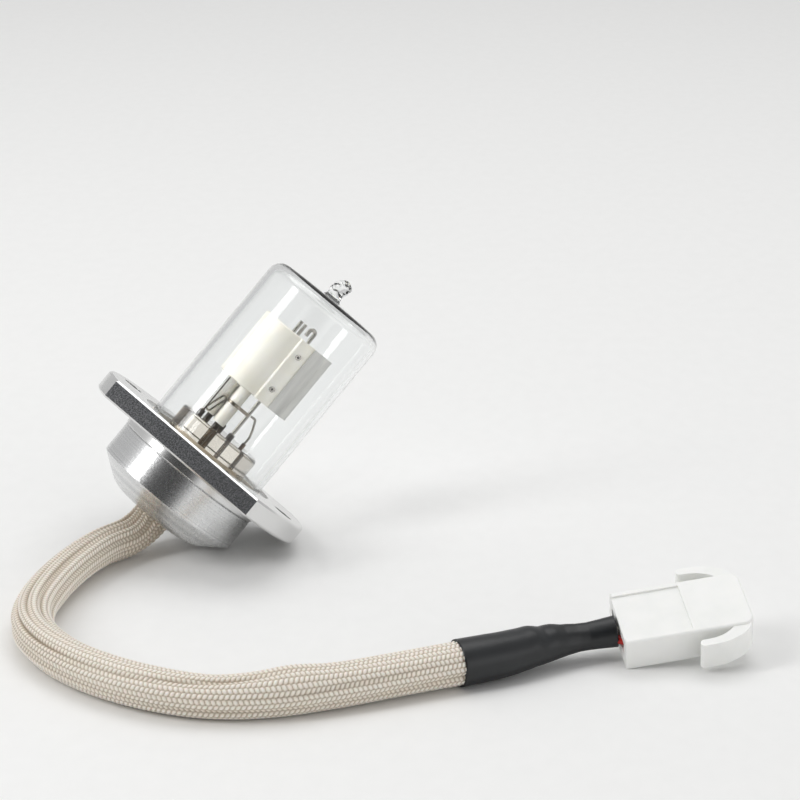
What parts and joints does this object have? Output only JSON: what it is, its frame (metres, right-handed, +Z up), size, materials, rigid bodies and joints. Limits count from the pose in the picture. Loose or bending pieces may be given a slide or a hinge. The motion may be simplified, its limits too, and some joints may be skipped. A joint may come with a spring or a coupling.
{
  "type": "deuterium lamp",
  "caption": "Clear glass deuterium lamp on a turned two-flat fixing flange, with a braided lead, black shrink sleeve and small white latching plug.",
  "frame": {"origin": "on the bench under the middle of the lamp's box, lead and plug left out", "axes": "+Z up from the bench the lamp lies on; the bulb leans to +X and a little to +Y, and the lead and plug lie to -Y"},
  "size_m": [0.141, 0.1067, 0.0583],
  "materials": {
    "envelope_glass": "clear polished",
    "stem_glass": "clear pressed",
    "cream_cement": "matt",
    "pin_alloy": "oxidised satin",
    "dark_bead": "satin",
    "ivory_ceramic": "matt",
    "nickel": "bright satin",
    "molybdenum": "grey satin",
    "cathode_oxide": "chalky",
    "dark_strap": "dark satin",
    "machined_aluminium": "fine turned",
    "bush_rubber": "satin",
    "tinned_copper": "tinned",
    "braid": "braided tinned and cream yarn",
    "black_shrink": "satin",
    "red_insulation": "satin",
    "pale_insulation": "satin",
    "grey_insulation": "satin",
    "white_nylon": "satin"
  },
  "bodies": {
    "root": {"glass_envelope": "envelope_glass", "glass_stem": "stem_glass", "stem_cement": "cream_cement", "lead_in_pins": "pin_alloy", "pin_collars": "dark_bead", "ceramic_body": "ivory_ceramic", "ceramic_spacer": "ivory_ceramic", "body_eyelets": "nickel", "front_cover": "nickel", "aperture_plate": "molybdenum", "cathode_shield": "nickel", "cathode_coil": "cathode_oxide", "cathode_legs": "nickel", "anode_plate": "molybdenum", "anode_rod": "pin_alloy", "support_rods": "nickel", "insulator_tube": "ivory_ceramic", "tube_strap": "dark_strap", "lead_channel": "nickel", "channel_loop": "nickel", "hook_wire": "nickel", "flange": "machined_aluminium", "bulb_cement": "cream_cement", "base_cap": "machined_aluminium", "cable_bush": "bush_rubber", "base_leads": "pale_insulation", "splice_sleeves": "tinned_copper", "braided_sleeve": "braid", "heat_shrink": "black_shrink", "wire_red": "red_insulation", "wire_white": "pale_insulation", "wire_grey": "grey_insulation", "plug_housing": "white_nylon", "pin_terminals": "tinned_copper"}
  },
  "joints": []
}
